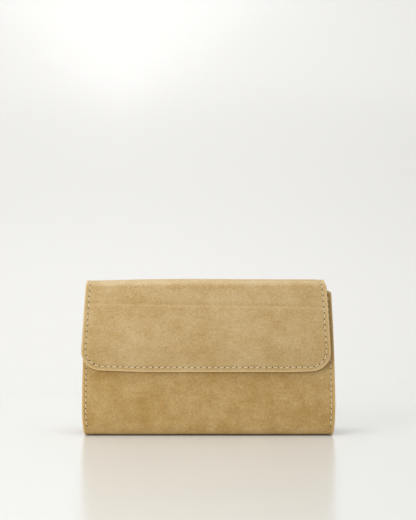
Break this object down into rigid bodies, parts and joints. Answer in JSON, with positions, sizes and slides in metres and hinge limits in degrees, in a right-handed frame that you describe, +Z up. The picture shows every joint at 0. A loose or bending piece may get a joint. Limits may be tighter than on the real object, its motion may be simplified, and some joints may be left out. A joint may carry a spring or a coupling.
{
  "type": "clutch wallet",
  "caption": "Soft suede clutch wallet with a fold-over flap, folding side gussets, a magnetic snap and a zipped inner pocket.",
  "frame": {"origin": "middle of the flat base", "axes": "+X across the width to the viewer's right, -Y out of the front with the flap, +Z up"},
  "size_m": [0.2136, 0.0504, 0.1305],
  "materials": {
    "suede": "matt sand-coloured suede with a short mottled nap",
    "board": "plain stiffening board",
    "lining": "plain woven cotton",
    "tape": "woven zip tape",
    "thread": "waxed cream thread",
    "metal": "polished pale gold plating",
    "steel": "plain steel"
  },
  "bodies": {
    "case": {"body_wrap": "suede", "left_gusset": "suede", "right_gusset": "suede", "flap_tail": "suede", "back_board": "board", "base_board": "board", "back_lining": "lining", "base_lining": "lining", "pocket_bag": "lining", "zip_tape_upper": "tape", "zip_tape_lower": "tape", "zip_teeth": "metal", "zip_stop_left": "metal", "zip_stop_right": "metal", "back_seam_left": "thread", "back_seam_right": "thread", "tail_seam": "thread"},
    "front": {"front_panel": "suede", "front_board": "board", "front_lining": "lining", "snap_socket": "metal", "socket_washer": "steel", "front_seam_left": "thread", "front_seam_right": "thread", "front_top_seam": "thread"},
    "roll_rear": {"roll_rear": "suede", "roll_rear_lining": "lining"},
    "roll_front": {"roll_front": "suede", "roll_front_lining": "lining"},
    "flap": {"flap": "suede", "flap_board": "board", "flap_lining": "lining", "snap_stud": "metal", "flap_seam": "thread"},
    "slider": {"zip_slider": "metal"},
    "puller": {"zip_puller": "metal"}
  },
  "joints": [
    {"name": "flap_fold_rear", "type": "hinge", "parent": "case", "child": "roll_rear", "pos_m": [0, 0.00789, 0.1258], "axis": [-1, 0, 0], "range_deg": [0, 66]},
    {"name": "flap_fold_top", "type": "hinge", "parent": "roll_rear", "child": "roll_front", "pos_m": [0, 0.00038, 0.12988], "axis": [-1, 0, 0], "range_deg": [0, 66]},
    {"name": "flap_fold_front", "type": "hinge", "parent": "roll_front", "child": "flap", "pos_m": [0, -0.00747, 0.12652], "axis": [-1, 0, 0], "range_deg": [0, 66]},
    {"name": "mouth_open", "type": "hinge", "parent": "case", "child": "front", "pos_m": [0, -0.0239, 0.0104], "axis": [1, 0, 0], "range_deg": [0, 8.25]},
    {"name": "zip_slide", "type": "slide", "parent": "case", "child": "slider", "axis": [1, 0, 0], "range_m": [0, 0.108]},
    {"name": "puller_swing", "type": "hinge", "parent": "slider", "child": "puller", "pos_m": [-0.054, 0.00528, 0.08663], "axis": [-1, 0, 0], "range_deg": [0, 55]}
  ],
  "couplings": [
    {"joint": "flap_fold_top", "follows": "flap_fold_rear", "ratio": 1},
    {"joint": "flap_fold_front", "follows": "flap_fold_rear", "ratio": 1},
    {"joint": "mouth_open", "follows": "flap_fold_rear", "ratio": 0.125}
  ]
}
